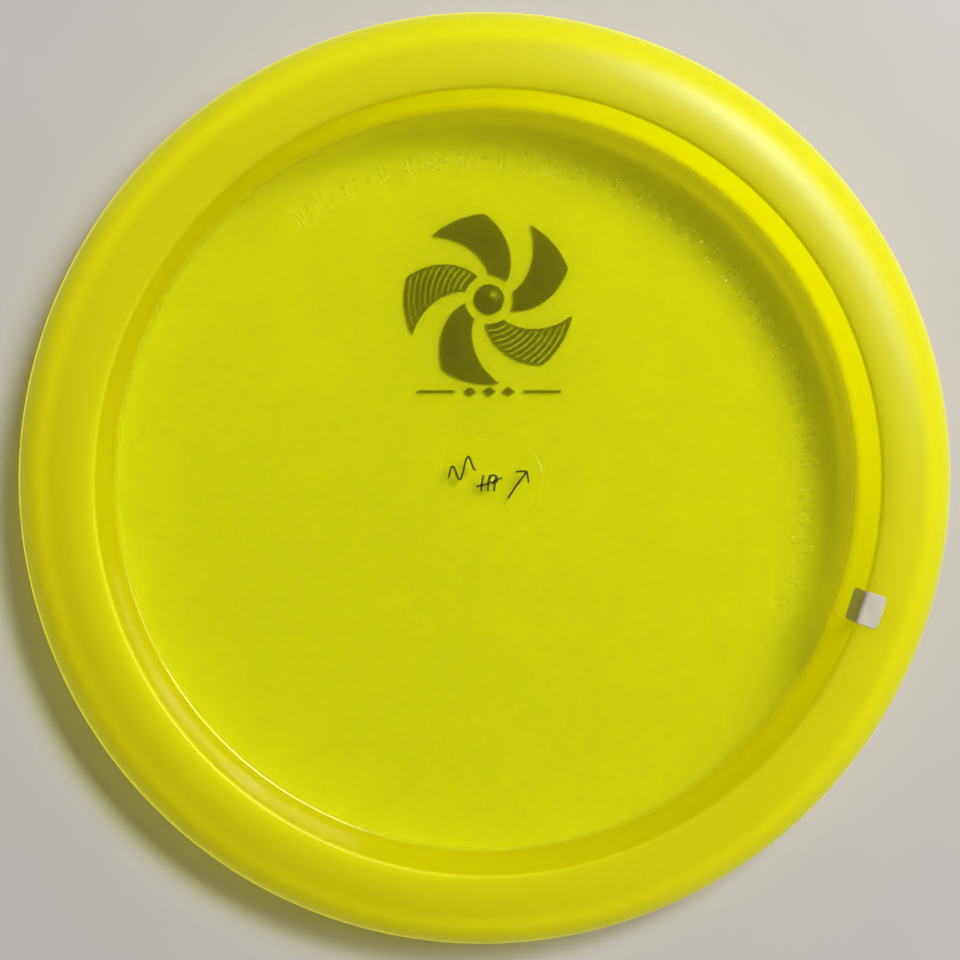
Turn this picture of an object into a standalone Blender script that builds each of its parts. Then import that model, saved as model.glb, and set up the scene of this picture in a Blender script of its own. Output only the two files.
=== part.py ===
"""Translucent golf-style flying disc, lying on its domed top with its hollow side up.

The disc is one injection moulding: a flight plate with a thick wing-shaped rim.  Separate
pieces are the islands of stamped foil on its outer face and the paper label folded over the
inner corner of the rim.  Units are metres.  The origin is on the table under the centre of
the disc, and +Z points up, out of the hollow.
"""

import math

import bmesh
import bpy

MM = 0.001

# Driving dimensions of the moulding
NOSE_RADIUS = 105.5 * MM          # half of the disc's 211 mm diameter
RIM_HEIGHT = 16.0 * MM            # table to the flat land of the rim
NOSE_HEIGHT = 6.5 * MM            # table to the widest line of the wing
NOSE_ROUND = 1.5 * MM
WALL_TOP_RADIUS = 87.15 * MM      # steep inner wall, where it runs into the rounded corner
CORNER_ROUND = 0.9 * MM          # between the inner wall and the land
LAND_WIDTH = 1.0 * MM
FOOT_TOP_RADIUS = 85.7 * MM       # concave foot of the inner wall ends here
FOOT_TOP_RISE = 2.0 * MM          # and this far above the plate
PLATE_THICKNESS = 1.8 * MM
FLAT_RADIUS = 66.0 * MM           # the dome's flat centre, on which the disc rests
DOME_EDGE_RADIUS = 84.6 * MM      # plate meets the foot of the inner wall
DOME_RISE = 1.6 * MM              # how much the plate lifts between flat and edge
UPPER_WING_PULLS = ((96.5 * MM, 15.6 * MM), (104.4 * MM, 13.0 * MM))
LOWER_WING_PULLS = ((100.9 * MM, 4.5 * MM), (92.0 * MM, 3.3 * MM))
TURNED_STEPS = 96

# Low rounded ridge moulded round the centre of the hollow side
HUB_RING_RADIUS = 12.0 * MM
HUB_RING_WIDTH = 1.4 * MM
HUB_RING_RISE = 0.2 * MM

# Stamped foil on the outer face
FOIL_THICKNESS = 0.15 * MM
FOIL_RECESS = 0.05 * MM
FOIL_POCKET_DEPTH = 0.30 * MM
FOIL_SIDE_GAP = 0.12 * MM
EMBLEM_CENTRE_Y = 42.0 * MM
EMBLEM_RADIUS = 19.4 * MM
EMBLEM_BLADES = 5
BLADE_ROOT_RADIUS = 5.6 * MM
BLADE_SWEEP = math.radians(46)
BLADE_ROOT_SPAN = math.radians(44)
BLADE_TIP_SPAN = math.radians(40)
BLADE_EDGE_POINTS = 7
HUB_DOT_RADIUS = 3.4 * MM
RULE_LINE_Y = 20.9 * MM
RULE_LENGTH = 8.6 * MM
RULE_THICKNESS = 0.6 * MM
RULE_CENTRE_X = 12.2 * MM
DIAMOND_HALF_WIDTH = 1.5 * MM
DIAMOND_HALF_HEIGHT = 1.1 * MM
DIAMOND_PITCH = 4.4 * MM

# Paper label folded over the inner corner of the rim
LABEL_AZIMUTH = math.radians(-18.3)
LABEL_WIDTH = 7.4 * MM
LABEL_THICKNESS = 0.12 * MM
LABEL_GAP = 0.2 * MM
LABEL_LAND_REACH = 4.95 * MM      # outwards from the top of the wall
LABEL_WALL_DROP = 7.3 * MM        # down from the land
LABEL_STEPS = 6


def clear_scene():
    for old in list(bpy.data.objects):
        bpy.data.objects.remove(old, do_unlink=True)


def new_collection(name):
    collection = bpy.data.collections.new(name)
    bpy.context.scene.collection.children.link(collection)
    return collection


def make_material(name, color, roughness, metallic=0.0, alpha=1.0):
    material = bpy.data.materials.new(name)
    material.use_nodes = True
    shader = material.node_tree.nodes["Principled BSDF"]
    shader.inputs["Base Color"].default_value = (*color, 1.0)
    shader.inputs["Roughness"].default_value = roughness
    shader.inputs["Metallic"].default_value = metallic
    shader.inputs["Alpha"].default_value = alpha
    return material


def arc(centre, radius, start_deg, end_deg, steps):
    """Points on a circular arc in the (radius, height) plane."""
    points = []
    for i in range(steps + 1):
        angle = math.radians(start_deg + (end_deg - start_deg) * i / steps)
        x = centre[0] + radius * math.cos(angle)
        points.append((x, centre[1] + radius * math.sin(angle)))
    return points


def bezier(start, pull_start, pull_end, end, steps):
    """Points on a cubic curve, without its first point."""
    points = []
    for i in range(1, steps + 1):
        t = i / steps
        u = 1.0 - t
        weights = (u ** 3, 3 * u * u * t, 3 * u * t * t, t ** 3)
        pulls = (start, pull_start, pull_end, end)
        points.append(tuple(sum(w * p[axis] for w, p in zip(weights, pulls)) for axis in (0, 1)))
    return points


def dome_height(radius):
    """Height of the outer face above the table: flat at the centre, then gently lifting."""
    if radius <= FLAT_RADIUS:
        return 0.0
    t = (radius - FLAT_RADIUS) / (DOME_EDGE_RADIUS - FLAT_RADIUS)
    return DOME_RISE * t * t


def hollow_floor():
    """Hollow side of the plate, from the axis out to the foot of the wall."""
    level = PLATE_THICKNESS
    points = [(0.0, level)]
    points.append((HUB_RING_RADIUS - HUB_RING_WIDTH / 2, level))
    points.append((HUB_RING_RADIUS, level + HUB_RING_RISE))
    points.append((HUB_RING_RADIUS + HUB_RING_WIDTH / 2, level))
    for share in (0.0, 0.4, 0.75, 1.0):
        radius = FLAT_RADIUS + share * (DOME_EDGE_RADIUS - FLAT_RADIUS)
        points.append((radius, level + dome_height(radius)))
    return points


def wall_foot():
    """Concave foot, where the plate turns up into the wall."""
    start = (DOME_EDGE_RADIUS, PLATE_THICKNESS + DOME_RISE)
    end = (FOOT_TOP_RADIUS, start[1] + FOOT_TOP_RISE)
    pull_start = (start[0] + 0.45 * MM, start[1] + 0.1 * MM)
    pull_end = (end[0] - 0.3 * MM, end[1] - 0.9 * MM)
    return bezier(start, pull_start, pull_end, end, 4)


def steep_wall():
    """Slightly bowed wall, from its foot to the rounded corner."""
    start = wall_foot()[-1]
    end = (WALL_TOP_RADIUS, RIM_HEIGHT - CORNER_ROUND)
    pull_start = (start[0] + 0.7 * MM, start[1] + 3.2 * MM)
    pull_end = (end[0] - 0.3 * MM, end[1] - 4.0 * MM)
    return bezier(start, pull_start, pull_end, end, 6)


def corner_centre():
    return (WALL_TOP_RADIUS + CORNER_ROUND, RIM_HEIGHT - CORNER_ROUND)


def wing():
    """Outer side of the rim: from the land, round the nose and down to the dome."""
    land_end = (corner_centre()[0] + LAND_WIDTH, RIM_HEIGHT)
    nose = arc((NOSE_RADIUS - NOSE_ROUND, NOSE_HEIGHT), NOSE_ROUND, 50, -40, 6)
    upper = bezier(land_end, UPPER_WING_PULLS[0], UPPER_WING_PULLS[1], nose[0], 10)
    lower = bezier(nose[-1], LOWER_WING_PULLS[0], LOWER_WING_PULLS[1], (DOME_EDGE_RADIUS, DOME_RISE), 7)
    return [land_end] + upper + nose[1:] + lower


def outer_face():
    """Outer face of the dome, from its edge back to the axis."""
    points = []
    for share in (0.75, 0.4, 0.0):
        radius = FLAT_RADIUS + share * (DOME_EDGE_RADIUS - FLAT_RADIUS)
        points.append((radius, dome_height(radius)))
    points.append((0.0, 0.0))
    return points


def profile_object(name, points, collection):
    """A line of edges in the XZ plane, ready for a Screw modifier."""
    mesh = bpy.data.meshes.new(name)
    built = bmesh.new()
    vertices = [built.verts.new((radius, 0.0, height)) for radius, height in points]
    for first, second in zip(vertices, vertices[1:]):
        built.edges.new((first, second))
    built.to_mesh(mesh)
    built.free()
    thing = bpy.data.objects.new(name, mesh)
    collection.objects.link(thing)
    return thing


def add_screw(thing, angle, steps):
    screw = thing.modifiers.new("turned", "SCREW")
    screw.axis = "Z"
    screw.angle = angle
    screw.steps = steps
    screw.render_steps = steps
    screw.use_merge_vertices = True
    screw.merge_threshold = 0.001 * MM
    screw.use_smooth_shade = True


def flat_piece(name, outlines, bottom, thickness, collection, grow=0.0):
    """A flat plate with the given closed outlines, made as a 2D curve and turned into a mesh."""
    curve = bpy.data.curves.new(name, "CURVE")
    curve.dimensions = "2D"
    curve.fill_mode = "BOTH"
    curve.extrude = thickness / 2
    curve.offset = grow
    for outline in outlines:
        spline = curve.splines.new("POLY")
        spline.points.add(len(outline) - 1)
        for point, (x, y) in zip(spline.points, outline):
            point.co = (x, y, 0.0, 1.0)
        spline.use_cyclic_u = True
    holder = bpy.data.objects.new(name + "_outline", curve)
    holder.location.z = bottom + thickness / 2
    collection.objects.link(holder)
    bpy.context.view_layer.update()

    evaluated = holder.evaluated_get(bpy.context.evaluated_depsgraph_get())
    mesh = bpy.data.meshes.new_from_object(evaluated)
    mesh.name = name
    welded = bmesh.new()
    welded.from_mesh(mesh)
    bmesh.ops.remove_doubles(welded, verts=welded.verts, dist=0.001 * MM)
    bmesh.ops.recalc_face_normals(welded, faces=welded.faces)
    welded.to_mesh(mesh)
    welded.free()
    thing = bpy.data.objects.new(name, mesh)
    thing.matrix_world = holder.matrix_world.copy()
    collection.objects.link(thing)
    bpy.data.objects.remove(holder, do_unlink=True)
    return thing


def blade_outline(index):
    """One swept blade of the emblem: both edges lean the same way as they run outwards."""
    middle = math.pi / 2 + math.tau * index / EMBLEM_BLADES
    leading = []
    trailing = []
    for i in range(BLADE_EDGE_POINTS):
        t = i / (BLADE_EDGE_POINTS - 1)
        radius = BLADE_ROOT_RADIUS + (EMBLEM_RADIUS - BLADE_ROOT_RADIUS) * t
        lean = middle + BLADE_SWEEP * (t - 0.5)
        half_span = (BLADE_ROOT_SPAN + (BLADE_TIP_SPAN - BLADE_ROOT_SPAN) * t) / 2
        for edge, angle in ((leading, lean - half_span), (trailing, lean + half_span)):
            edge.append((radius * math.cos(angle), EMBLEM_CENTRE_Y + radius * math.sin(angle)))
    tip_start = middle + BLADE_SWEEP / 2 - BLADE_TIP_SPAN / 2
    tip = []
    for i in range(1, 4):
        angle = tip_start + BLADE_TIP_SPAN * i / 4
        x = EMBLEM_RADIUS * math.cos(angle)
        tip.append((x, EMBLEM_CENTRE_Y + EMBLEM_RADIUS * math.sin(angle)))
    return leading + tip + trailing[::-1]


def disc_outline(radius, centre_y, count):
    outline = []
    for i in range(count):
        angle = math.tau * i / count
        outline.append((radius * math.cos(angle), centre_y + radius * math.sin(angle)))
    return outline


def box_outline(centre_x, centre_y, width, height):
    corners = ((-1, -1), (1, -1), (1, 1), (-1, 1))
    return [(centre_x + sx * width / 2, centre_y + sy * height / 2) for sx, sy in corners]


def diamond_outline(centre_x):
    width = DIAMOND_HALF_WIDTH
    height = DIAMOND_HALF_HEIGHT
    corners = ((-width, 0), (0, -height), (width, 0), (0, height))
    return [(centre_x + dx, RULE_LINE_Y + dy) for dx, dy in corners]


def foil_outlines():
    """Name and outline of every island of foil."""
    islands = {"foil_hub_dot": disc_outline(HUB_DOT_RADIUS, EMBLEM_CENTRE_Y, 24)}
    for index in range(EMBLEM_BLADES):
        islands[f"foil_blade_{index + 1}"] = blade_outline(index)
    for side, sign in (("left", -1), ("right", 1)):
        islands[f"foil_rule_{side}"] = box_outline(
            sign * RULE_CENTRE_X, RULE_LINE_Y, RULE_LENGTH, RULE_THICKNESS)
    for index, step in enumerate((-1, 0, 1)):
        islands[f"foil_diamond_{index + 1}"] = diamond_outline(step * DIAMOND_PITCH)
    return islands


def build_disc(collection, material):
    corner = arc(corner_centre(), CORNER_ROUND, 180, 90, 4)[1:]
    points = hollow_floor() + wall_foot() + steep_wall() + corner + wing() + outer_face()
    disc = profile_object("disc_body", points, collection)
    disc.data.materials.append(material)
    add_screw(disc, math.tau, TURNED_STEPS)
    return disc


def build_foil(disc, parts, cutters, material):
    """Foil islands, each lying in its own shallow pocket of the outer face."""
    for name, outline in foil_outlines().items():
        island = flat_piece(name, [outline], FOIL_RECESS, FOIL_THICKNESS, parts)
        island.data.materials.append(material)
        depth = 2 * FOIL_POCKET_DEPTH
        cutter = flat_piece(name + "_pocket", [outline], -FOIL_POCKET_DEPTH, depth, cutters, FOIL_SIDE_GAP)
        cutter.hide_render = True
        cutter.display_type = "WIRE"
        pocket = disc.modifiers.new(name + "_pocket", "BOOLEAN")
        pocket.operation = "DIFFERENCE"
        pocket.solver = "EXACT"
        pocket.object = cutter


def build_label(collection, material):
    """Paper label: a strip that follows the upper wall, the corner and the land."""
    drop_end = RIM_HEIGHT - LABEL_WALL_DROP
    path = [(radius - LABEL_GAP, height) for radius, height in steep_wall()[:-1] if height > drop_end]
    path += arc(corner_centre(), CORNER_ROUND + LABEL_GAP, 180, 90, 5)
    path.append((WALL_TOP_RADIUS + LABEL_LAND_REACH, RIM_HEIGHT + LABEL_GAP))
    label = profile_object("paper_label", path, collection)
    label.data.materials.append(material)
    span = LABEL_WIDTH / WALL_TOP_RADIUS
    add_screw(label, span, LABEL_STEPS)
    shell = label.modifiers.new("paper", "SOLIDIFY")
    shell.thickness = LABEL_THICKNESS
    shell.offset = 1.0
    label.rotation_euler.z = LABEL_AZIMUTH - span / 2


def main():
    clear_scene()
    parts = new_collection("flying_disc")
    cutters = new_collection("flying_disc_cutters")
    plastic = make_material("tinted_plastic", (0.62, 0.64, 0.01), 0.25, alpha=0.9)
    foil = make_material("stamped_foil", (0.10, 0.095, 0.02), 0.35, metallic=0.6)
    paper = make_material("label_paper", (0.62, 0.60, 0.50), 0.85)
    disc = build_disc(parts, plastic)
    build_foil(disc, parts, cutters, foil)
    build_label(parts, paper)


main()
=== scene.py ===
"""Looks of the translucent golf-style flying disc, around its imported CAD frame.  Metres, +Z up."""
import math

import bmesh
import bpy
import numpy as np
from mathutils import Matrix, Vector


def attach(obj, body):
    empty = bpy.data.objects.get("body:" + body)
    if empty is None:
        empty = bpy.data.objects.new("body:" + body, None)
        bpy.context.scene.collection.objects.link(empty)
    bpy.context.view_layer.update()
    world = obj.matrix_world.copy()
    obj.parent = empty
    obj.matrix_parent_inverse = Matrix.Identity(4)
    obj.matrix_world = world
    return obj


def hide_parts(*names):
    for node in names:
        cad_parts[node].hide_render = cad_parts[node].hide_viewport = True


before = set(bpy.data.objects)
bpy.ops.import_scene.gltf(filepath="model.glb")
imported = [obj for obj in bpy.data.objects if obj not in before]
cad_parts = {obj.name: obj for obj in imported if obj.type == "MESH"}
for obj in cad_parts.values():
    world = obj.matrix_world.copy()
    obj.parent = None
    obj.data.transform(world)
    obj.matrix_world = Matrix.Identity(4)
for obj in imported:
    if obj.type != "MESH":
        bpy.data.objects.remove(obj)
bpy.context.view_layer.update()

MM = 0.001

# The moulding's section, as in the CAD: radii from its axis and heights above the table
NOSE_RADIUS = 105.5 * MM
NOSE_HEIGHT = 6.5 * MM
NOSE_ROUND = 1.5 * MM
RIM_HEIGHT = 16.0 * MM
WALL_TOP_RADIUS = 87.15 * MM
CORNER_ROUND = 0.9 * MM
LAND_WIDTH = 1.0 * MM
FOOT_TOP_RADIUS = 85.7 * MM
FOOT_TOP_RISE = 2.0 * MM
PLATE_THICKNESS = 1.8 * MM
FLAT_RADIUS = 66.0 * MM
DOME_EDGE_RADIUS = 84.6 * MM
DOME_RISE = 1.6 * MM
UPPER_WING_PULLS = ((96.5 * MM, 15.6 * MM), (104.4 * MM, 13.0 * MM))
LOWER_WING_PULLS = ((100.9 * MM, 4.5 * MM), (92.0 * MM, 3.3 * MM))
TURNED_STEPS = 400

# Low ridge round the centre of the hollow side
HUB_RING_RADIUS = 12.0 * MM
HUB_RING_WIDTH = 1.4 * MM
HUB_RING_RISE = 0.16 * MM

# Mark left by the injection gate, just off the centre of the hub ring
GATE_PLACE = (0.9 * MM, 0.9 * MM)
GATE_RADIUS = 1.15 * MM

# Raised bars, dots and squares that stand in for the moulded lettering
MARK_INNER_RADIUS = 71.4 * MM
MARK_OUTER_RADIUS = 76.2 * MM
MARK_START = math.radians(126)
MARK_PITCH = math.radians(-2.35)
MARK_COUNT = 65
MARK_GROUP = 9
MARK_WIDTH = 0.42 * MM
MARK_DOT_HALF = 0.55 * MM
MARK_BREAK_HALF = 0.5 * MM
MARK_LEAN = 0.25
MARK_RISE = 0.16 * MM
MARK_GAP = 0.01 * MM

# Pen strokes inside the hub ring
STROKE_WIDTH = 0.45 * MM
STROKE_RISE = 0.02 * MM

# Foil emblem, as in the CAD
FOIL_BOTTOM = 0.05 * MM
FOIL_TOP = 0.20 * MM
EMBLEM_CENTRE_Y = 42.0 * MM
EMBLEM_RADIUS = 19.4 * MM
EMBLEM_BLADES = 5
BLADE_ROOT_RADIUS = 5.6 * MM
BLADE_SWEEP = math.radians(46)
BLADE_ROOT_SPAN = math.radians(44)
BLADE_TIP_SPAN = math.radians(40)
HATCHED_BLADES = (1, 3)
BLADE_COLUMNS = 66
BLADE_ROWS = 18
HUB_DOT_RADIUS = 3.4 * MM
RULE_LINE_Y = 20.9 * MM
RULE_LENGTH = 8.6 * MM
RULE_THICKNESS = 0.6 * MM
RULE_CENTRE_X = 12.2 * MM
DIAMOND_HALF_WIDTH = 1.5 * MM
DIAMOND_HALF_HEIGHT = 1.1 * MM
DIAMOND_PITCH = 4.4 * MM

# Paper label over the inner corner of the rim
LABEL_AZIMUTH = math.radians(-18.3)
LABEL_WIDTH = 7.4 * MM
LABEL_THICKNESS = 0.1 * MM
LABEL_GAP = 0.05 * MM
LABEL_LAND_REACH = 4.95 * MM
LABEL_WALL_DROP = 7.3 * MM
LABEL_CORNER = 1.2 * MM
LABEL_RIPPLE = 0.03 * MM

# Plastic: what each zone scatters, with a painted glow on the outer wing, painted shade under the nose
# and a painted glow given off by the nose edge, and the tint it gives to straight shadow rays
PLATE_COLORS = ((0.81, 0.83, 0.006), (0.865, 0.88, 0.007))
RIM_COLOR = (0.77, 0.76, 0.006)
# Painted glow: the outer wing scatters a brighter colour, standing in for light focused through the rim
# onto it
OUTER_WING_GLOW_COLOR = (0.97, 0.96, 0.008)
# Painted shade: the underside of the nose scatters a darker colour, which also dims the yellow light it
# throws on the table
UNDER_NOSE_SHADE_COLOR = (0.75, 0.72, 0.005)
WALL_GLOW_COLOR = (0.93, 0.955, 0.012)
# Painted glow: the edge of the nose gives off this faint yellow light of its own, though it is no lamp
NOSE_GLOW_COLOR = (1.0, 0.95, 0.03)
PLATE_TINT = (0.70, 0.73, 0.09)
WALL_TINT = (0.42, 0.39, 0.035)
WING_TINT = (0.82, 0.83, 0.06)
UNDERSIDE_TINT = (0.95, 0.94, 0.40)
OUTER_EDGE_TINT = (0.04, 0.038, 0.005)
DEPTH_COLOR = (0.85, 0.72, 0.05)
DEPTH_DENSITY = 20.0
PLASTIC_IOR = 1.5

# Camera above the disc, leaning a little from its upper left
CAMERA_PLACE = (-0.0229, 0.0206, 0.400)
CAMERA_TILT = (math.radians(-2.86), math.radians(-2.98), 0.0)
CAMERA_LENS_MM = 65.37
SENSOR_MM = 36.0

# Table top, just under the disc, and half its width
FLOOR_DROP = 0.3 * MM
FLOOR_HALF = 3.0

# Daylight from a wide window, dimmer towards its right end: each pane has a turn in degrees
# and a share of the power
WINDOW_AZIMUTH = math.radians(36)
WINDOW_ELEVATION = math.radians(42.5)
WINDOW_DISTANCE = 2.6
WINDOW_POWER = 75.0
WINDOW_COLOR = (1.0, 0.985, 0.96)
WINDOW_PANES = (("window_left", 17, 0.50), ("window_middle", 0, 0.32), ("window_right", -17, 0.18))
PANE_SIZE = (0.76, 0.60)
ROOM_COLOR = (1.0, 0.98, 0.96)
ROOM_STRENGTH = 0.115


def arc(centre, radius, start_deg, end_deg, steps):
    """Points on a circular arc in the (radius, height) plane."""
    points = []
    for i in range(steps + 1):
        angle = math.radians(start_deg + (end_deg - start_deg) * i / steps)
        points.append((centre[0] + radius * math.cos(angle), centre[1] + radius * math.sin(angle)))
    return points


def bezier(start, pull_start, pull_end, end, steps):
    """Points on a cubic curve, without its first point."""
    points = []
    for i in range(1, steps + 1):
        t = i / steps
        u = 1.0 - t
        weights = (u ** 3, 3 * u * u * t, 3 * u * t * t, t ** 3)
        pulls = (start, pull_start, pull_end, end)
        points.append(tuple(sum(w * p[axis] for w, p in zip(weights, pulls)) for axis in (0, 1)))
    return points


def dome_height(radius):
    """Height of the outer face: flat at the centre, then gently lifting."""
    if radius <= FLAT_RADIUS:
        return 0.0
    t = (radius - FLAT_RADIUS) / (DOME_EDGE_RADIUS - FLAT_RADIUS)
    return DOME_RISE * t * t


def floor_height(radius):
    """Hollow side of the plate, with the moulded hub ring as a low rounded ridge."""
    level = PLATE_THICKNESS + dome_height(radius)
    offset = (radius - HUB_RING_RADIUS) / (HUB_RING_WIDTH / 2)
    if abs(offset) < 1:
        level += HUB_RING_RISE * (0.5 + 0.5 * math.cos(math.pi * offset))
    return level


def wall_foot():
    """Concave foot, where the plate turns up into the wall."""
    start = (DOME_EDGE_RADIUS, PLATE_THICKNESS + DOME_RISE)
    end = (FOOT_TOP_RADIUS, start[1] + FOOT_TOP_RISE)
    pull_start = (start[0] + 0.45 * MM, start[1] + 0.1 * MM)
    pull_end = (end[0] - 0.3 * MM, end[1] - 0.9 * MM)
    return bezier(start, pull_start, pull_end, end, 10)


def steep_wall():
    """Slightly bowed wall, from its foot to the rounded corner."""
    start = wall_foot()[-1]
    end = (WALL_TOP_RADIUS, RIM_HEIGHT - CORNER_ROUND)
    pull_start = (start[0] + 0.7 * MM, start[1] + 3.2 * MM)
    pull_end = (end[0] - 0.3 * MM, end[1] - 4.0 * MM)
    return bezier(start, pull_start, pull_end, end, 12)


def corner():
    """Rounded corner between wall and land."""
    centre = (WALL_TOP_RADIUS + CORNER_ROUND, RIM_HEIGHT - CORNER_ROUND)
    return arc(centre, CORNER_ROUND, 180, 90, 8)


def disc_profile():
    """Closed section of the moulding, from the axis over the hollow side and back underneath."""
    radii = [0.0, 4 * MM, 8 * MM]
    radii += list(np.linspace(11.2 * MM, 12.8 * MM, 17))
    radii += list(np.linspace(15 * MM, FLAT_RADIUS, 18))
    radii += list(np.linspace(68 * MM, DOME_EDGE_RADIUS, 14))
    points = [(float(radius), floor_height(float(radius))) for radius in radii]
    points += wall_foot() + steep_wall() + corner()[1:]
    land_end = (WALL_TOP_RADIUS + CORNER_ROUND + LAND_WIDTH, RIM_HEIGHT)
    nose = arc((NOSE_RADIUS - NOSE_ROUND, NOSE_HEIGHT), NOSE_ROUND, 50, -40, 16)
    points.append(land_end)
    points += bezier(land_end, UPPER_WING_PULLS[0], UPPER_WING_PULLS[1], nose[0], 40)
    points += nose[1:]
    dome_edge = (DOME_EDGE_RADIUS, DOME_RISE)
    points += bezier(nose[-1], LOWER_WING_PULLS[0], LOWER_WING_PULLS[1], dome_edge, 20)
    for radius in np.linspace(DOME_EDGE_RADIUS, FLAT_RADIUS, 8)[1:]:
        points.append((float(radius), dome_height(float(radius))))
    points += [(radius * MM, 0.0) for radius in (50, 34, 18, 6, 0)]
    return points


def finish_mesh(name, built, smooth=True):
    """Scene object from a bmesh, with its faces pointing out."""
    bmesh.ops.recalc_face_normals(built, faces=built.faces)
    mesh = bpy.data.meshes.new(name)
    built.to_mesh(mesh)
    built.free()
    if smooth:
        mesh.shade_smooth()
    thing = bpy.data.objects.new(name, mesh)
    bpy.context.scene.collection.objects.link(thing)
    return thing


def lathe(name, profile, steps, centre=(0.0, 0.0)):
    """Closed turned mesh from a profile that starts and ends on its own upright axis."""
    built = bmesh.new()
    top = built.verts.new((*centre, profile[0][1]))
    bottom = built.verts.new((*centre, profile[-1][1]))
    rings = []
    for radius, height in profile[1:-1]:
        ring = []
        for i in range(steps):
            angle = math.tau * i / steps
            x = centre[0] + radius * math.cos(angle)
            ring.append(built.verts.new((x, centre[1] + radius * math.sin(angle), height)))
        rings.append(ring)
    for i in range(steps):
        j = (i + 1) % steps
        built.faces.new((top, rings[0][i], rings[0][j]))
        built.faces.new((bottom, rings[-1][j], rings[-1][i]))
        for upper, lower in zip(rings, rings[1:]):
            built.faces.new((upper[i], lower[i], lower[j], upper[j]))
    return finish_mesh(name, built)


def sheet(name, place, columns, rows, keep=None):
    """Closed thin plate on a grid.

    place(u, v) gives its lower and upper point there, and keep(i, j) says which cells are filled.
    """
    built = bmesh.new()
    used = {}

    def corner_pair(i, j):
        if (i, j) not in used:
            low, high = place(i / columns, j / rows)
            used[i, j] = (built.verts.new(low), built.verts.new(high))
        return used[i, j]

    def filled(i, j):
        return 0 <= i < columns and 0 <= j < rows and (keep is None or keep(i, j))

    for i in range(columns):
        for j in range(rows):
            if not filled(i, j):
                continue
            corners = ((i, j), (i + 1, j), (i + 1, j + 1), (i, j + 1))
            pairs = [corner_pair(*c) for c in corners]
            built.faces.new([pair[1] for pair in pairs])
            built.faces.new([pair[0] for pair in reversed(pairs)])
            for side, step in enumerate(((0, -1), (1, 0), (0, 1), (-1, 0))):
                if not filled(i + step[0], j + step[1]):
                    first = pairs[side]
                    second = pairs[(side + 1) % 4]
                    built.faces.new((first[0], second[0], second[1], first[1]))
    return finish_mesh(name, built, smooth=False)


def foil_pair(x, y):
    """Lower and upper point of the foil at a place on the outer face."""
    return (x, y, FOIL_BOTTOM), (x, y, FOIL_TOP)


def foil_blade(index):
    """Swept blade of the emblem; the hatched ones are cut into fine bars inside their border."""
    middle = math.pi / 2 + math.tau * index / EMBLEM_BLADES

    def place(u, v):
        radius = BLADE_ROOT_RADIUS + (EMBLEM_RADIUS - BLADE_ROOT_RADIUS) * u
        span = BLADE_ROOT_SPAN + (BLADE_TIP_SPAN - BLADE_ROOT_SPAN) * u
        angle = middle + BLADE_SWEEP * (u - 0.5) + span * (v - 0.5)
        return foil_pair(radius * math.cos(angle), EMBLEM_CENTRE_Y + radius * math.sin(angle))

    def bars(i, j):
        inside = 3 <= i < BLADE_COLUMNS - 3 and 1 <= j < BLADE_ROWS - 1
        return not (inside and i % 6 in (0, 1))

    keep = bars if index in HATCHED_BLADES else None
    return sheet(f"foil_blade_{index + 1}_print", place, BLADE_COLUMNS, BLADE_ROWS, keep)


def foil_rule(side, sign):
    """Thin rule beside the diamonds; sign is -1 for the left one."""
    def place(u, v):
        return foil_pair(
            sign * RULE_CENTRE_X + RULE_LENGTH * (u - 0.5), RULE_LINE_Y + RULE_THICKNESS * (v - 0.5))

    return sheet(f"foil_rule_{side}_print", place, 24, 2)


def foil_diamond(index, centre_x):
    """One of the small diamonds between the rules."""
    def place(u, v):
        return foil_pair(
            centre_x + DIAMOND_HALF_WIDTH * (u - v), RULE_LINE_Y + DIAMOND_HALF_HEIGHT * (u + v - 1))

    return sheet(f"foil_diamond_{index}_print", place, 6, 6)


def foil_hub_dot():
    """Round dot at the centre of the emblem."""
    profile = [(0.0, FOIL_TOP), (HUB_DOT_RADIUS, FOIL_TOP)]
    profile += [(HUB_DOT_RADIUS, FOIL_BOTTOM), (0.0, FOIL_BOTTOM)]
    return lathe("foil_hub_dot_print", profile, 64, (0.0, EMBLEM_CENTRE_Y))


def label_path():
    """Points of the label's section and their distances along it, from its lower end outwards."""
    drop_end = RIM_HEIGHT - LABEL_WALL_DROP
    line = [point for point in steep_wall()[:-1] if point[1] > drop_end] + corner()
    reach = WALL_TOP_RADIUS + LABEL_LAND_REACH
    line += [(float(radius), RIM_HEIGHT) for radius in np.linspace(line[-1][0], reach, 14)[1:]]
    line = np.array(line)
    along = np.concatenate([[0.0], np.cumsum(np.linalg.norm(np.diff(line, axis=0), axis=1))])
    return line, along


def paper_label():
    """Label with rounded ends, pressed over wall, corner and land, its free end lifting slightly."""
    line, along = label_path()
    length = along[-1]

    def point_at(s):
        return np.array([np.interp(s, along, line[:, axis]) for axis in (0, 1)])

    def place(u, v):
        s = u * length
        radius, height = (float(number) for number in point_at(s))
        run = point_at(min(s + 0.1 * MM, length)) - point_at(max(s - 0.1 * MM, 0.0))
        run /= np.linalg.norm(run)
        out = (-float(run[1]), float(run[0]))
        to_end = min(s, length - s)
        trim = 0.0
        if to_end < LABEL_CORNER:
            trim = LABEL_CORNER - math.sqrt(LABEL_CORNER ** 2 - (LABEL_CORNER - to_end) ** 2)
        across = (v - 0.5) * (LABEL_WIDTH - 2 * trim)
        lift = LABEL_GAP + LABEL_RIPPLE * (1 + math.sin(900 * across + 1400 * s)) * u
        angle = LABEL_AZIMUTH + across / WALL_TOP_RADIUS
        pair = []
        for stand_off in (lift, lift + LABEL_THICKNESS):
            reach = radius + out[0] * stand_off
            pair.append((reach * math.cos(angle), reach * math.sin(angle), height + out[1] * stand_off))
        return pair

    label = sheet("paper_label_fold", place, 90, 40)
    label.data.shade_smooth()
    return label


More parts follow.
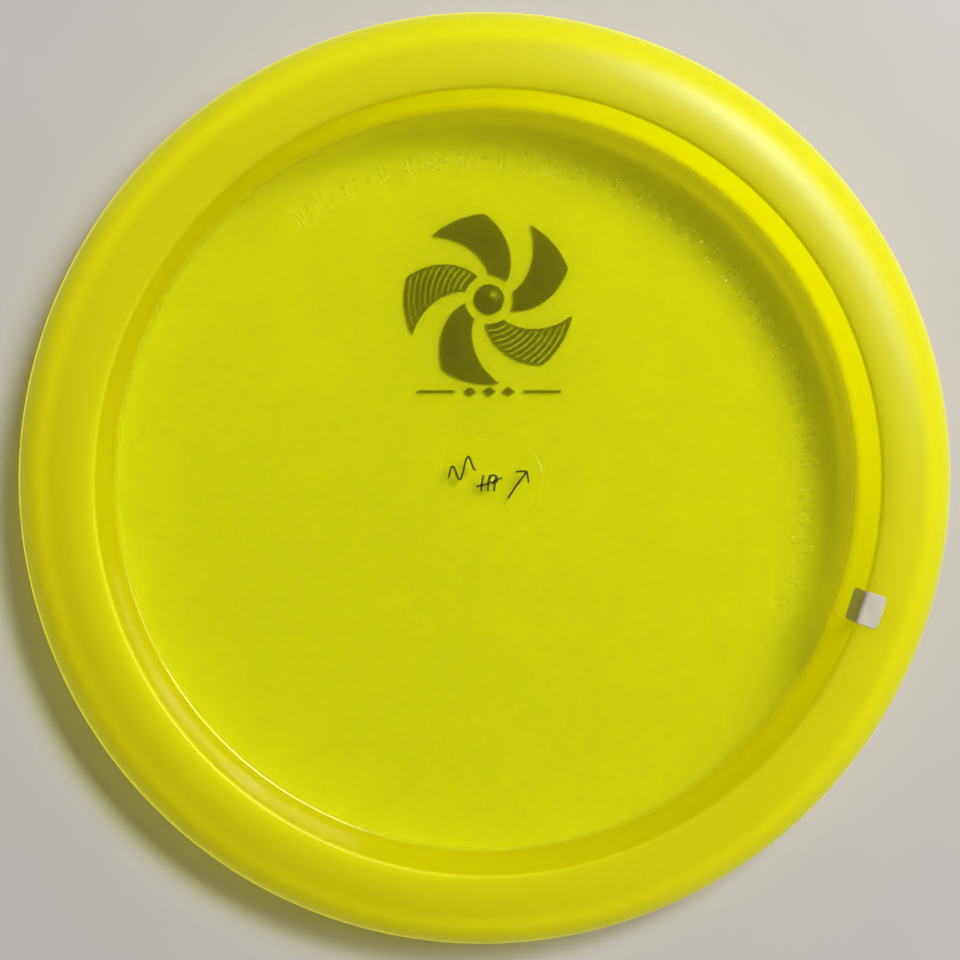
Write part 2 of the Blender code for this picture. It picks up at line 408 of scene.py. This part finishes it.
def add_block(built, outline, lift, rise):
    """Closed prism on the hollow side of the plate: lift is its gap, rise its height."""
    rings = []
    for extra in (lift, lift + rise):
        places = [(x, y, floor_height(math.hypot(x, y)) + extra) for x, y in outline]
        rings.append([built.verts.new(place) for place in places])
    built.faces.new(rings[1])
    built.faces.new(rings[0][::-1])
    count = len(outline)
    for i in range(count):
        j = (i + 1) % count
        built.faces.new((rings[0][i], rings[0][j], rings[1][j], rings[1][i]))


def mark_outline(angle, inner, outer, width, lean=0.0):
    """Bar that points outwards at an angle, in plan."""
    outline = []
    for radius, side in ((inner, -1), (outer, -1), (outer, 1), (inner, 1)):
        shift = side * width / 2 + lean * (radius - inner)
        x = radius * math.cos(angle) - shift * math.sin(angle)
        outline.append((x, radius * math.sin(angle) + shift * math.cos(angle)))
    return outline


def raised_marks():
    """Arc of raised bars and dots moulded on the hollow side, in groups."""
    built = bmesh.new()
    inner = MARK_INNER_RADIUS
    outer = MARK_OUTER_RADIUS
    middle = (inner + outer) / 2
    for index in range(MARK_COUNT):
        angle = MARK_START + MARK_PITCH * index
        kind = index % MARK_GROUP
        if kind == MARK_GROUP - 1:
            continue
        if kind in (3, 6):
            half = MARK_DOT_HALF
            outlines = [mark_outline(angle, middle - half, middle + half, 2 * half)]
        elif kind in (1, 5):
            outlines = [
                mark_outline(angle, inner, middle - MARK_BREAK_HALF, MARK_WIDTH),
                mark_outline(angle, middle + MARK_BREAK_HALF, outer, MARK_WIDTH),
            ]
        else:
            lean = MARK_LEAN if kind % 4 == 2 else 0.0
            outlines = [
                mark_outline(angle, inner, outer, MARK_WIDTH, lean),
                mark_outline(angle + MARK_PITCH * 0.4, inner, outer, MARK_WIDTH),
            ]
        for outline in outlines:
            add_block(built, outline, MARK_GAP, MARK_RISE)
    return finish_mesh("raised_marks", built, smooth=False)


def gate_vestige():
    """Shallow dish with a raised lip: each point is a share of the radius and a height in mm."""
    base = PLATE_THICKNESS + MARK_GAP
    shape = ((0.0, 0.05), (0.30, 0.05), (0.50, 0.10), (0.80, 0.10), (0.92, 0.07), (1.0, 0.0), (0.0, 0.0))
    profile = [(share * GATE_RADIUS, base + height * MM) for share, height in shape]
    return lathe("gate_vestige", profile, 48, GATE_PLACE)


def add_stroke(built, points):
    """Thin ribbon of ink along a line of points."""
    for (x0, y0), (x1, y1) in zip(points, points[1:]):
        run = math.hypot(x1 - x0, y1 - y0)
        side = ((y0 - y1) / run * STROKE_WIDTH / 2, (x1 - x0) / run * STROKE_WIDTH / 2)
        outline = [(x0 - side[0], y0 - side[1]), (x1 - side[0], y1 - side[1]),
                   (x1 + side[0], y1 + side[1]), (x0 + side[0], y0 + side[1])]
        add_block(built, outline, MARK_GAP, STROKE_RISE)


def pen_strokes():
    """Hand-drawn wave, tally and arrow inside the hub ring, set out in mm; they spell nothing."""
    built = bmesh.new()
    wave = [(-9.4 + 0.45 * i, 1.2 + 2.2 * math.sin(0.8 * i) + 0.28 * i) for i in range(15)]
    strokes = [wave]
    for step in range(3):
        x = -1.9 + 1.5 * step
        strokes.append([(x, -1.9), (x + 0.15, 0.2), (x + 0.5, 1.8)])
    strokes.append([(-3.0, -0.9), (0.4, 0.1), (3.0, 1.2)])
    strokes.append([(4.2, -3.6), (6.2, -0.6), (8.6, 2.6)])
    strokes.append([(6.0, 2.5), (7.4, 2.7), (8.6, 2.6), (8.8, 1.3), (9.0, 0.0)])
    for stroke in strokes:
        add_stroke(built, [(x * MM, y * MM) for x, y in stroke])
    return finish_mesh("pen_strokes", built, smooth=False)


def node(tree, kind, **settings):
    """New shader node with the given settings."""
    made = tree.nodes.new(kind)
    for key, value in settings.items():
        setattr(made, key, value)
    return made


def object_radius(tree):
    """Distance from the disc's axis."""
    place = node(tree, "ShaderNodeTexCoord")
    flat = node(tree, "ShaderNodeVectorMath", operation="MULTIPLY")
    flat.inputs[1].default_value = (1, 1, 0)
    length = node(tree, "ShaderNodeVectorMath", operation="LENGTH")
    tree.links.new(place.outputs["Object"], flat.inputs[0])
    tree.links.new(flat.outputs[0], length.inputs[0])
    return length.outputs["Value"]


def object_height(tree):
    """Height above the table."""
    place = node(tree, "ShaderNodeTexCoord")
    parts = node(tree, "ShaderNodeSeparateXYZ")
    tree.links.new(place.outputs["Object"], parts.inputs[0])
    return parts.outputs["Z"]


def stepped(tree, value, low, high, out_low=0.0, out_high=1.0):
    """Smooth change from out_low to out_high as value goes from low to high."""
    span = node(tree, "ShaderNodeMapRange", interpolation_type="SMOOTHSTEP")
    limits = {"From Min": low, "From Max": high, "To Min": out_low, "To Max": out_high}
    for name, number in limits.items():
        span.inputs[name].default_value = number
    tree.links.new(value, span.inputs["Value"])
    return span.outputs["Result"]


def noise(tree, scale, detail=3.0, stretch=(1, 1, 1)):
    """Grey noise in object space, about scale cells to a metre."""
    place = node(tree, "ShaderNodeTexCoord")
    mapping = node(tree, "ShaderNodeMapping")
    mapping.inputs["Scale"].default_value = stretch
    texture = node(tree, "ShaderNodeTexNoise")
    texture.inputs["Scale"].default_value = scale
    texture.inputs["Detail"].default_value = detail
    tree.links.new(place.outputs["Object"], mapping.inputs["Vector"])
    tree.links.new(mapping.outputs["Vector"], texture.inputs["Vector"])
    return texture.outputs["Fac"]


def blend_color(tree, factor, first, second):
    """Mix of two colours; each is a tuple or the output of another node."""
    mix = node(tree, "ShaderNodeMix", data_type="RGBA")
    tree.links.new(factor, mix.inputs["Factor"])
    for name, color in (("A", first), ("B", second)):
        if isinstance(color, tuple):
            mix.inputs[name].default_value = (*color, 1)
        else:
            tree.links.new(color, mix.inputs[name])
    return mix.outputs["Result"]


def product(tree, first, second):
    """Product of two values; each is a number or the output of another node."""
    multiply = node(tree, "ShaderNodeMath", operation="MULTIPLY")
    for socket, value in zip(multiply.inputs, (first, second)):
        if isinstance(value, float):
            socket.default_value = value
        else:
            tree.links.new(value, socket)
    return multiply.outputs[0]


def mixed_shader(tree, factor, first, second):
    """Mix of two shaders; the factor is a number or the output of another node."""
    mix = node(tree, "ShaderNodeMixShader")
    if isinstance(factor, float):
        mix.inputs["Fac"].default_value = factor
    else:
        tree.links.new(factor, mix.inputs["Fac"])
    tree.links.new(first, mix.inputs[1])
    tree.links.new(second, mix.inputs[2])
    return mix.outputs[0]


def output_of(tree):
    """Output node of a material."""
    return next(n for n in tree.nodes if n.type == "OUTPUT_MATERIAL")


def add_bump(tree, height, strength, distance, shader):
    """Fine relief on the shader's surface, distance metres deep at most."""
    bump = node(tree, "ShaderNodeBump")
    bump.inputs["Strength"].default_value = strength
    bump.inputs["Distance"].default_value = distance
    tree.links.new(height, bump.inputs["Height"])
    tree.links.new(bump.outputs["Normal"], shader.inputs["Normal"])


def new_material(name, color, roughness, metallic=0.0):
    """Material with its node tree and its Principled shader."""
    material = bpy.data.materials.new(name)
    material.use_nodes = True
    shader = material.node_tree.nodes["Principled BSDF"]
    shader.inputs["Base Color"].default_value = (*color, 1)
    shader.inputs["Roughness"].default_value = roughness
    shader.inputs["Metallic"].default_value = metallic
    return material, material.node_tree, shader


def let_lamps_through(tree, shader_output, tint):
    """Straight shadow rays pass the surface with a tint; every other ray sees the shader."""
    path = node(tree, "ShaderNodeLightPath")
    clear = node(tree, "ShaderNodeBsdfTransparent")
    if isinstance(tint, tuple):
        clear.inputs["Color"].default_value = (*tint, 1)
    else:
        tree.links.new(tint, clear.inputs["Color"])
    surface = mixed_shader(tree, path.outputs["Is Shadow Ray"], shader_output, clear.outputs[0])
    tree.links.new(surface, output_of(tree).inputs["Surface"])


def moulding_zones(tree):
    """Soft masks for the zones of the moulding, each 0 outside its zone and 1 in it."""
    radius = object_radius(tree)
    height = object_height(tree)
    corner_top = WALL_TOP_RADIUS + 0.5 * MM
    corner_end = corner_top + 0.6 * MM
    rim = stepped(tree, radius, DOME_EDGE_RADIUS - 0.4 * MM, DOME_EDGE_RADIUS + 0.4 * MM)
    past_wall = stepped(tree, radius, corner_top, corner_end)
    before_land = stepped(tree, radius, corner_top, corner_end, 1, 0)
    below_corner = stepped(tree, height, RIM_HEIGHT - 0.9 * MM, RIM_HEIGHT - 0.3 * MM, 1, 0)
    below_wing = stepped(tree, height, NOSE_HEIGHT + 1.5 * MM, NOSE_HEIGHT + 2.5 * MM, 1, 0)
    lower_side = stepped(tree, height, NOSE_HEIGHT - 1.0 * MM, NOSE_HEIGHT - 0.3 * MM, 1, 0)
    outer_edge = product(tree, below_wing, stepped(tree, radius, 99 * MM, 100.5 * MM))
    return {
        "rim": rim,
        "wall": product(tree, product(tree, rim, before_land), below_corner),
        "past_wall": past_wall,
        # painted glow: where the outer wing gets its brighter colour
        "outer_wing_glow": stepped(tree, radius, 96 * MM, 101 * MM),
        "underside": product(tree, past_wall, lower_side),
        "outer_edge": outer_edge,
        # painted shade: where the underside of the nose is darker
        "under_nose_shade": product(tree, outer_edge, lower_side),
        # painted glow: the thin edge of the nose that gives off light
        "nose_glow": stepped(tree, radius, NOSE_RADIUS - 0.8 * MM, NOSE_RADIUS - 0.3 * MM),
    }


def plastic_color(tree, zones):
    """Colour that the plastic scatters: mottled on the plate, painted brighter on the outer wing as a
    painted glow of light focused through the rim, and painted darker under the nose as painted shade.
    """
    color = blend_color(tree, noise(tree, 60.0, 4.0), *PLATE_COLORS)
    color = blend_color(tree, zones["rim"], color, RIM_COLOR)
    color = blend_color(tree, zones["outer_wing_glow"], color, OUTER_WING_GLOW_COLOR)
    return blend_color(tree, zones["under_nose_shade"], color, UNDER_NOSE_SHADE_COLOR)


def plastic_tint(tree, zones):
    """What a straight shadow ray keeps where it crosses the plastic's surface."""
    tint = blend_color(tree, zones["rim"], PLATE_TINT, WALL_TINT)
    tint = blend_color(tree, zones["past_wall"], tint, WING_TINT)
    tint = blend_color(tree, zones["underside"], tint, UNDERSIDE_TINT)
    return blend_color(tree, zones["outer_edge"], tint, OUTER_EDGE_TINT)


def plastic_material():
    """Clear-tinted plastic: refracting and absorbing, milkier in the rim, grained on the plate.

    The inner wall also glows with light from behind it, and the nose edge gives off a faint painted glow
    of its own.
    """
    material, tree, shader = new_material("tinted_plastic", (0.90, 0.92, 0.006), 0.2)
    zones = moulding_zones(tree)
    rim = zones["rim"]
    tree.links.new(plastic_color(tree, zones), shader.inputs["Base Color"])
    tree.links.new(stepped(tree, rim, 0.0, 1.0, 0.80, 0.35), shader.inputs["Transmission Weight"])
    tree.links.new(stepped(tree, rim, 0.0, 1.0, 0.02, 0.30), shader.inputs["Roughness"])
    shader.inputs["IOR"].default_value = PLASTIC_IOR
    shader.inputs["Specular IOR Level"].default_value = 0.075
    shader.inputs["Subsurface Weight"].default_value = 1.0
    shader.inputs["Subsurface Radius"].default_value = (1.0, 0.9, 0.05)
    shader.inputs["Subsurface Scale"].default_value = 0.014
    # Painted glow: the nose edge gives off a faint yellow light of its own
    shader.inputs["Emission Color"].default_value = (*NOSE_GLOW_COLOR, 1)
    tree.links.new(product(tree, zones["nose_glow"], 0.35), shader.inputs["Emission Strength"])
    grain = product(tree, noise(tree, 1500.0, 2.0), stepped(tree, rim, 0.0, 1.0, 1.0, 0.1))
    add_bump(tree, grain, 0.25, 0.02 * MM, shader)

    glow = node(tree, "ShaderNodeBsdfTranslucent")
    glow.inputs["Color"].default_value = (*WALL_GLOW_COLOR, 1)
    shine = node(tree, "ShaderNodeBsdfGlossy")
    shine.inputs["Roughness"].default_value = 0.12
    body = mixed_shader(tree, product(tree, zones["wall"], 0.75), shader.outputs[0], glow.outputs[0])
    coated = mixed_shader(tree, product(tree, zones["wall"], 0.06), body, shine.outputs[0])
    let_lamps_through(tree, coated, plastic_tint(tree, zones))

    absorb = node(tree, "ShaderNodeVolumeAbsorption")
    absorb.inputs["Color"].default_value = (*DEPTH_COLOR, 1)
    absorb.inputs["Density"].default_value = DEPTH_DENSITY
    tree.links.new(absorb.outputs[0], output_of(tree).inputs["Volume"])
    return material


def clear_mark_material():
    """The same plastic, for the thin raised marks."""
    material, tree, shader = new_material("tinted_plastic_marks", (0.93, 0.94, 0.30), 0.15)
    shader.inputs["Transmission Weight"].default_value = 1.0
    shader.inputs["IOR"].default_value = PLASTIC_IOR
    tree.links.new(stepped(tree, noise(tree, 900.0), 0.3, 0.7, 0.1, 0.3), shader.inputs["Roughness"])
    let_lamps_through(tree, shader.outputs[0], (0.97, 0.97, 0.8))
    return material


def foil_material():
    """Dark hot-stamped foil with fine scuffs and slightly uneven coverage."""
    material, tree, shader = new_material("stamped_foil", (0.08, 0.075, 0.02), 0.35, 0.6)
    scuffs = noise(tree, 700.0, 5.0, (1.0, 0.15, 1.0))
    cover = noise(tree, 160.0, 4.0)
    color = blend_color(tree, cover, (0.055, 0.052, 0.014), (0.10, 0.094, 0.026))
    tree.links.new(color, shader.inputs["Base Color"])
    tree.links.new(stepped(tree, scuffs, 0.35, 0.7, 0.28, 0.5), shader.inputs["Roughness"])
    add_bump(tree, scuffs, 0.2, 0.01 * MM, shader)
    return material


def paper_material():
    """Matt off-white paper with a faint fibre grain, through which some light passes."""
    material, tree, shader = new_material("label_paper", (0.62, 0.60, 0.50), 0.85)
    fibres = noise(tree, 1800.0, 6.0, (1.0, 0.4, 1.0))
    blotches = noise(tree, 350.0, 3.0)
    tone = blend_color(tree, blotches, (0.80, 0.775, 0.66), (0.90, 0.87, 0.76))
    shade = blend_color(tree, stepped(tree, fibres, 0.35, 0.5, 0.12, 0.0), tone, (0.40, 0.38, 0.30))
    tree.links.new(shade, shader.inputs["Base Color"])
    add_bump(tree, fibres, 0.3, 0.02 * MM, shader)
    lit_through = node(tree, "ShaderNodeBsdfTranslucent")
    lit_through.inputs["Color"].default_value = (0.80, 0.80, 0.70, 1)
    paper = mixed_shader(tree, 0.35, shader.outputs[0], lit_through.outputs[0])
    tree.links.new(paper, output_of(tree).inputs["Surface"])
    return material


def ink_material():
    """Dark olive pen ink that has worn unevenly."""
    material, tree, shader = new_material("pen_ink", (0.10, 0.11, 0.03), 0.5)
    shader.inputs["Specular IOR Level"].default_value = 0.1
    color = blend_color(tree, noise(tree, 1200.0, 4.0), (0.03, 0.033, 0.008), (0.09, 0.095, 0.018))
    tree.links.new(color, shader.inputs["Base Color"])
    return material


def table_material():
    """Pale painted table with a barely visible mottle."""
    material, tree, shader = new_material("table_top", (0.62, 0.60, 0.585), 0.45)
    mottle = noise(tree, 18.0, 6.0)
    fine = noise(tree, 900.0, 3.0)
    tone = blend_color(tree, mottle, (0.605, 0.588, 0.572), (0.635, 0.615, 0.60))
    tree.links.new(tone, shader.inputs["Base Color"])
    tree.links.new(stepped(tree, mottle, 0.3, 0.7, 0.4, 0.5), shader.inputs["Roughness"])
    add_bump(tree, fine, 0.12, 0.05 * MM, shader)
    return material


def make_floor():
    """Table top under the disc, for the picture only."""
    mesh = bpy.data.meshes.new("floor")
    signs = ((-1, -1), (1, -1), (1, 1), (-1, 1))
    corners = [(FLOOR_HALF * across, FLOOR_HALF * along, 0.0) for across, along in signs]
    mesh.from_pydata(corners, [], [(0, 1, 2, 3)])
    floor = bpy.data.objects.new("floor", mesh)
    floor.location.z = -FLOOR_DROP
    bpy.context.scene.collection.objects.link(floor)
    floor.data.materials.append(table_material())


def make_camera():
    data = bpy.data.cameras.new("camera")
    data.lens = CAMERA_LENS_MM
    data.sensor_width = SENSOR_MM
    data.clip_start = 0.01
    camera = bpy.data.objects.new("camera", data)
    camera.location = CAMERA_PLACE
    camera.rotation_euler = CAMERA_TILT
    bpy.context.scene.collection.objects.link(camera)
    bpy.context.scene.camera = camera


def window_pane(name, azimuth, power):
    """Soft rectangular light at the window's elevation, facing the disc from its azimuth."""
    data = bpy.data.lights.new(name, "AREA")
    data.shape = "RECTANGLE"
    data.size, data.size_y = PANE_SIZE
    data.energy = power
    data.color = WINDOW_COLOR
    light = bpy.data.objects.new(name, data)
    level = math.cos(WINDOW_ELEVATION)
    toward = Vector((math.cos(azimuth) * level, math.sin(azimuth) * level, math.sin(WINDOW_ELEVATION)))
    light.location = toward * WINDOW_DISTANCE
    light.rotation_euler = toward.to_track_quat("Z", "Y").to_euler()
    bpy.context.scene.collection.objects.link(light)


def make_lights():
    for name, turn, share in WINDOW_PANES:
        window_pane(name, WINDOW_AZIMUTH + math.radians(turn), WINDOW_POWER * share)
    world = bpy.data.worlds.new("room")
    world.use_nodes = True
    background = world.node_tree.nodes["Background"]
    background.inputs["Color"].default_value = (*ROOM_COLOR, 1)
    background.inputs["Strength"].default_value = ROOM_STRENGTH
    bpy.context.scene.world = world


def show(piece, material, slot, *nodes):
    """Gives a piece its finish and hides the CAD nodes that it stands for; the slot argument is not
    used.
    """
    piece.data.materials.append(material)
    if nodes:
        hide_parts(*nodes)
    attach(piece, "root")


def make_foil():
    foil = foil_material()
    for index in range(EMBLEM_BLADES):
        show(foil_blade(index), foil, "stamped_foil", f"foil_blade_{index + 1}")
    for side, sign in (("left", -1), ("right", 1)):
        show(foil_rule(side, sign), foil, "stamped_foil", f"foil_rule_{side}")
    for index, step in enumerate((-1, 0, 1), start=1):
        show(foil_diamond(index, step * DIAMOND_PITCH), foil, "stamped_foil", f"foil_diamond_{index}")
    show(foil_hub_dot(), foil, "stamped_foil", "foil_hub_dot")


bpy.context.scene.view_settings.view_transform = "Standard"
make_floor()
make_camera()
make_lights()
disc = lathe("disc_moulding", disc_profile(), TURNED_STEPS)
show(disc, plastic_material(), "tinted_plastic", "disc_body")
marks = clear_mark_material()
show(raised_marks(), marks, "tinted_plastic")
show(gate_vestige(), marks, "tinted_plastic")
show(pen_strokes(), ink_material(), "stamped_foil")
make_foil()
show(paper_label(), paper_material(), "label_paper", "paper_label")
